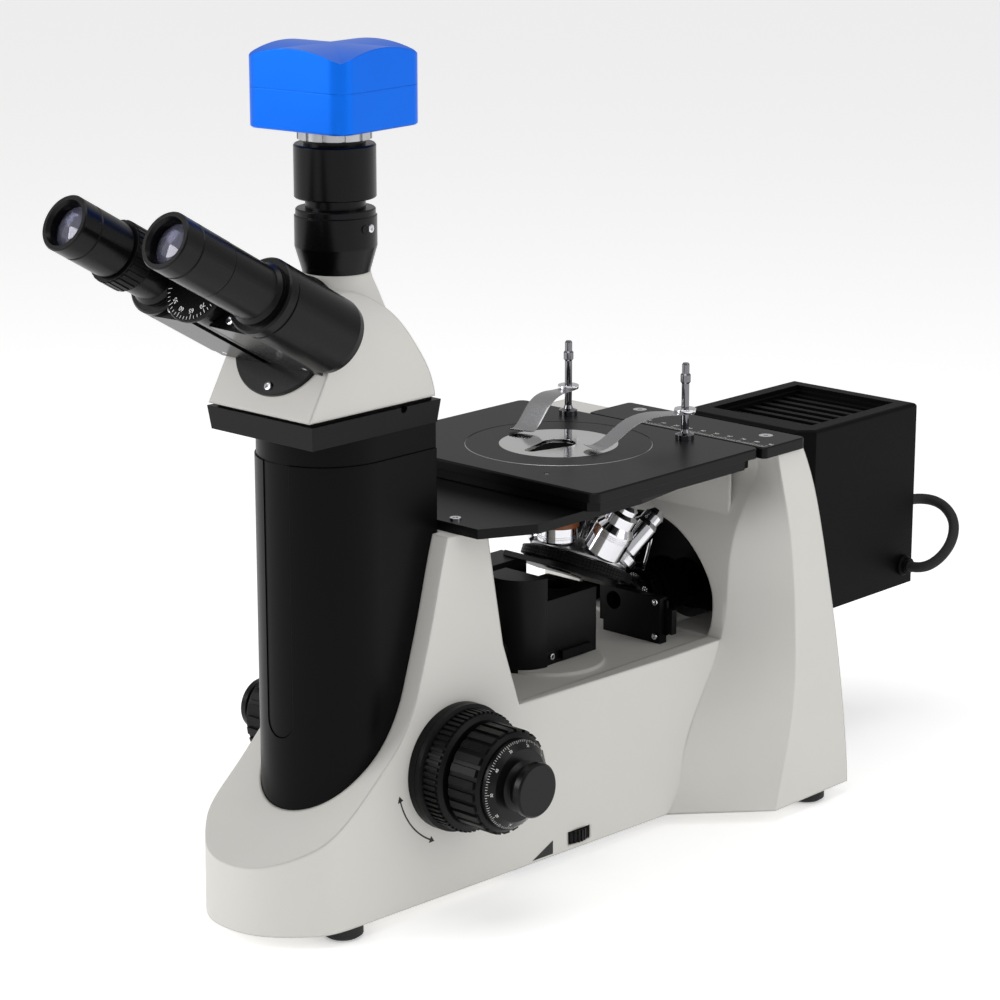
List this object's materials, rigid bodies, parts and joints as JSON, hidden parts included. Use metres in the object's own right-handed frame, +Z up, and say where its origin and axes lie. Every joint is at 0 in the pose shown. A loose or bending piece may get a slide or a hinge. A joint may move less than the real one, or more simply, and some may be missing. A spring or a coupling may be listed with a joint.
{
  "type": "inverted microscope",
  "caption": "Inverted metallurgical microscope with a stage over a tilted objective turret, a trinocular head with a camera, a coaxial focus drive and a rear lamp house.",
  "frame": {"origin": "on the table, straight under the objective in use", "axes": "+Z up, +Y from the eyepieces back to the lamp house, +X to the side with the brightness wheel"},
  "size_m": [0.217, 0.6446, 0.468],
  "materials": {
    "white_enamel": "white enamel with a fine texture on a casting",
    "black_anodised": "satin black anodised aluminium",
    "black_paint": "matt black paint",
    "black_plastic": "matt black plastic",
    "knob_plastic": "ribbed black plastic",
    "coated_steel": "black coat on turned steel",
    "rubber": "plain rubber",
    "chrome": "polished chrome",
    "steel": "bright steel",
    "satin_metal": "satin machined metal",
    "blue_anodised": "blue anodised aluminium",
    "glass": "coated glass",
    "mirror": "front-silvered mirror",
    "board": "circuit board with parts",
    "cable_rubber": "black cable sheath"
  },
  "bodies": {
    "stand": {"base_casting": "white_enamel", "base_plate": "steel", "rubber_feet": "rubber", "column_core": "black_anodised", "column_wrap": "black_paint", "head_flange": "black_anodised", "focus_bosses": "knob_plastic", "power_supply": "board", "power_panel": "black_plastic", "stage_frame": "black_anodised", "stage_screws": "steel", "mirror_housing": "black_anodised", "beam_mirror": "mirror", "illuminator": "black_paint", "filter_holder": "black_anodised", "lamp_neck": "black_anodised", "collector_lens": "glass", "lamp_case": "black_anodised", "lamp_mounts": "satin_metal", "lamp_bulb": "glass", "lamp_cable": "cable_rubber", "head_shell": "white_enamel", "pivot_disc": "black_anodised", "ipd_dial": "black_anodised", "tube_collar": "black_anodised", "camera_adapter": "black_anodised", "camera_mount": "satin_metal", "camera_shell": "blue_anodised", "camera_cap": "blue_anodised"},
    "coarse_slide_block": {"focus_slide": "satin_metal"},
    "nosepiece": {"nosepiece_arm": "black_anodised"},
    "turret": {"nosepiece_turret": "black_anodised", "objective_working": "chrome", "objectives_parked": "chrome"},
    "coarse_knobs": {"coarse_knob_right": "knob_plastic", "coarse_knob_left": "knob_plastic"},
    "fine_knobs": {"fine_knob_right": "coated_steel", "fine_knob_left": "coated_steel"},
    "tension": {"tension_ring": "knob_plastic"},
    "stage_y_slide": {"stage_carriage": "black_anodised"},
    "stage_top": {"stage_plate": "black_anodised", "stage_ring": "black_anodised", "stage_insert": "steel", "clip_posts": "chrome"},
    "left_clip": {"clip_spring_left": "steel"},
    "right_clip": {"clip_spring_right": "steel"},
    "x_knob": {"drive_knob_x": "knob_plastic"},
    "y_knob": {"drive_knob_y": "knob_plastic"},
    "right_ocular": {"prism_housing_right": "black_anodised", "eyepiece_right": "black_anodised", "eye_lens_right": "glass"},
    "left_ocular": {"prism_housing_left": "black_anodised", "eyepiece_left": "black_anodised", "eye_lens_left": "glass"},
    "diopter": {"diopter_ring": "knob_plastic"},
    "aperture": {"aperture_dial": "black_anodised"},
    "field": {"field_dial": "black_anodised"},
    "filters": {"filter_slider": "black_anodised"},
    "brightness": {"brightness_wheel": "knob_plastic"},
    "rocker": {"power_rocker": "black_plastic"}
  },
  "joints": [
    {"name": "coarse_focus", "type": "hinge", "parent": "stand", "child": "coarse_knobs", "pos_m": [0, -0.1402, 0.0796], "axis": [1, 0, 0], "range_deg": [-6, 51]},
    {"name": "coarse_travel", "type": "slide", "parent": "stand", "child": "coarse_slide_block", "axis": [0, 0, 1], "range_m": [-0.001, 0.008]},
    {"name": "fine_focus", "type": "hinge", "parent": "stand", "child": "fine_knobs", "pos_m": [0, -0.1402, 0.0796], "axis": [1, 0, 0], "range_deg": [-1800, 1800]},
    {"name": "fine_travel", "type": "slide", "parent": "coarse_slide_block", "child": "nosepiece", "axis": [0, 0, 1], "range_m": [-0.00101, 0.00101]},
    {"name": "tension_turn", "type": "hinge", "parent": "stand", "child": "tension", "pos_m": [0, -0.1402, 0.0796], "axis": [1, 0, 0], "range_deg": [-60, 60]},
    {"name": "turret_turn", "type": "hinge", "parent": "nosepiece", "child": "turret", "pos_m": [0, 0.01994, 0.158], "axis": [0, 0.4226, 0.9063], "continuous": true},
    {"name": "stage_y_drive", "type": "hinge", "parent": "stage_y_slide", "child": "y_knob", "pos_m": [-0.0844, -0.044, 0.16], "axis": [0, 0, 1], "range_deg": [-173, 1]},
    {"name": "stage_y_travel", "type": "slide", "parent": "stand", "child": "stage_y_slide", "axis": [0, 1, 0], "range_m": [-0.015, 0]},
    {"name": "stage_x_drive", "type": "hinge", "parent": "stage_y_slide", "child": "x_knob", "pos_m": [-0.0844, -0.044, 0.16], "axis": [0, 0, 1], "range_deg": [-87, 87]},
    {"name": "stage_x_travel", "type": "slide", "parent": "stage_y_slide", "child": "stage_top", "axis": [1, 0, 0], "range_m": [-0.0075, 0.0075]},
    {"name": "left_clip_swing", "type": "hinge", "parent": "stage_top", "child": "left_clip", "pos_m": [-0.044, 0.058, 0.23], "axis": [0, 0, 1], "range_deg": [-80, 8]},
    {"name": "right_clip_swing", "type": "hinge", "parent": "stage_top", "child": "right_clip", "pos_m": [0.047, 0.0567, 0.23], "axis": [0, 0, 1], "range_deg": [-8, 80]},
    {"name": "right_eye_spacing", "type": "hinge", "parent": "stand", "child": "right_ocular", "pos_m": [0, -0.3265, 0.38688], "axis": [0, -0.866, 0.5], "range_deg": [0, 44]},
    {"name": "left_eye_spacing", "type": "hinge", "parent": "stand", "child": "left_ocular", "pos_m": [0, -0.3265, 0.38688], "axis": [0, -0.866, 0.5], "range_deg": [-44, 0]},
    {"name": "diopter_turn", "type": "hinge", "parent": "left_ocular", "child": "diopter", "pos_m": [-0.0375, -0.3251, 0.3893], "axis": [0, -0.866, 0.5], "range_deg": [-90, 90]},
    {"name": "aperture_turn", "type": "hinge", "parent": "stand", "child": "aperture", "pos_m": [0, 0, 0.121], "axis": [0, 1, 0], "range_deg": [-60, 60]},
    {"name": "field_turn", "type": "hinge", "parent": "stand", "child": "field", "pos_m": [0, 0, 0.121], "axis": [0, 1, 0], "range_deg": [0, 30]},
    {"name": "filter_travel", "type": "slide", "parent": "stand", "child": "filters", "axis": [1, 0, 0], "range_m": [-0.019, 0]},
    {"name": "brightness_turn", "type": "hinge", "parent": "stand", "child": "brightness", "pos_m": [0.0465, -0.045, 0.014], "axis": [0, 0, 1], "range_deg": [-135, 135]},
    {"name": "power_rock", "type": "hinge", "parent": "stand", "child": "rocker", "pos_m": [0.012, 0.14, 0.036], "axis": [1, 0, 0], "range_deg": [0, 12]}
  ],
  "couplings": [
    {"joint": "coarse_travel", "follows": "coarse_focus", "m_per_rad": 0.00885},
    {"joint": "fine_travel", "follows": "fine_focus", "m_per_rad": 0.0000318},
    {"joint": "stage_y_drive", "follows": "stage_y_travel", "rad_per_m": 200},
    {"joint": "stage_x_drive", "follows": "stage_x_travel", "rad_per_m": 200},
    {"joint": "left_eye_spacing", "follows": "right_eye_spacing", "ratio": -1}
  ]
}
